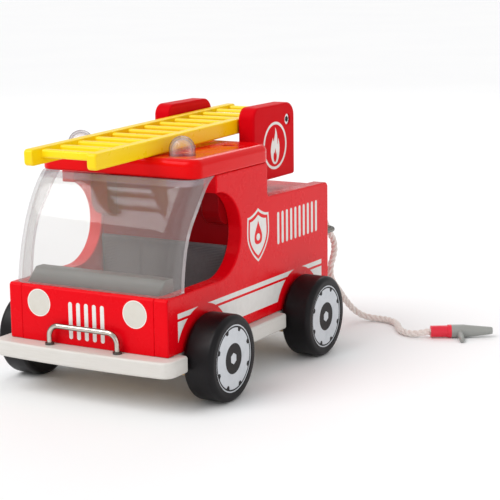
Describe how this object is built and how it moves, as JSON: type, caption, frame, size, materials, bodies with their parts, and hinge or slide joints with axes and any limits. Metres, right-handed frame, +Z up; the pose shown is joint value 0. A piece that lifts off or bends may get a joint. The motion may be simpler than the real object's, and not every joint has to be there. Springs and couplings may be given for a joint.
{
  "type": "toy fire engine",
  "caption": "Wooden toy fire engine with a clear windscreen, an open cab, a tilting ladder on a tower, rolling wheels and a rope hose with a nozzle.",
  "frame": {"origin": "on the floor below the middle of the engine's length and width (hose left out)", "axes": "+Z up, the front faces -Y, the engine's own left side faces +X"},
  "size_m": [0.2506, 0.2991, 0.1733],
  "materials": {
    "red_lacquer": "gloss red lacquer",
    "roof_lacquer": "high gloss red lacquer",
    "cream_lacquer": "satin cream lacquer",
    "bare_wood": "plain sanded wood",
    "clear_plastic": "clear, polished",
    "dash_plastic": "satin grey",
    "seat_fabric": "fine dark grey weave",
    "dark_wood": "dark grey paint",
    "yellow_plastic": "glossy yellow",
    "bright_rod": "polished",
    "zinc_steel": "plain zinc-plated steel",
    "collar_steel": "dark grey",
    "wheel_black": "satin black lacquer with a printed face",
    "rope": "braided off-white cord",
    "nozzle_red": "satin red",
    "nozzle_grey": "satin grey"
  },
  "bodies": {
    "engine": {"base_board": "cream_lacquer", "axle_cover_front": "bare_wood", "axle_cover_rear": "bare_wood", "nose_panel": "red_lacquer", "side_panel_left": "red_lacquer", "side_panel_right": "red_lacquer", "cab_back_wall": "red_lacquer", "deck_board": "red_lacquer", "rear_panel": "red_lacquer", "roof_panel": "roof_lacquer", "roof_post_left": "red_lacquer", "roof_post_right": "red_lacquer", "roof_cleats": "bare_wood", "roof_screws": "zinc_steel", "roof_plugs": "red_lacquer", "windscreen": "clear_plastic", "dashboard": "dash_plastic", "seat_bench": "dark_wood", "seat_cushion": "seat_fabric", "seat_back": "seat_fabric", "beacon_left": "clear_plastic", "beacon_right": "clear_plastic", "tower_plinth": "red_lacquer", "tower_cheek_left": "red_lacquer", "tower_cheek_right": "red_lacquer", "tower_bolts": "zinc_steel", "cheek_dowels": "bare_wood", "ladder_pin": "bright_rod", "ladder_washers": "zinc_steel", "front_bar": "bright_rod", "front_bar_collars": "collar_steel", "rear_bar": "bright_rod", "axle_washers": "zinc_steel", "base_screws": "zinc_steel", "cover_screws": "zinc_steel", "roof_dowels": "bare_wood", "hose_wrap": "rope", "hose": "rope", "nozzle_sleeve": "nozzle_red", "nozzle_body": "nozzle_grey", "nozzle_lever": "nozzle_grey"},
    "front_wheels": {"axle_front": "zinc_steel", "wheel_front_left": "wheel_black", "wheel_front_right": "wheel_black"},
    "rear_wheels": {"axle_rear": "zinc_steel", "wheel_rear_left": "wheel_black", "wheel_rear_right": "wheel_black"},
    "ladder": {"ladder": "yellow_plastic"}
  },
  "joints": [
    {"name": "front_axle_spin", "type": "hinge", "parent": "engine", "child": "front_wheels", "pos_m": [0, -0.06657, 0.028], "axis": [1, 0, 0], "continuous": true},
    {"name": "rear_axle_spin", "type": "hinge", "parent": "engine", "child": "rear_wheels", "pos_m": [0, 0.06043, 0.028], "axis": [1, 0, 0], "continuous": true},
    {"name": "ladder_tilt", "type": "hinge", "parent": "engine", "child": "ladder", "pos_m": [0, 0.08393, 0.1615], "axis": [-1, 0, 0], "range_deg": [0, 90]}
  ]
}
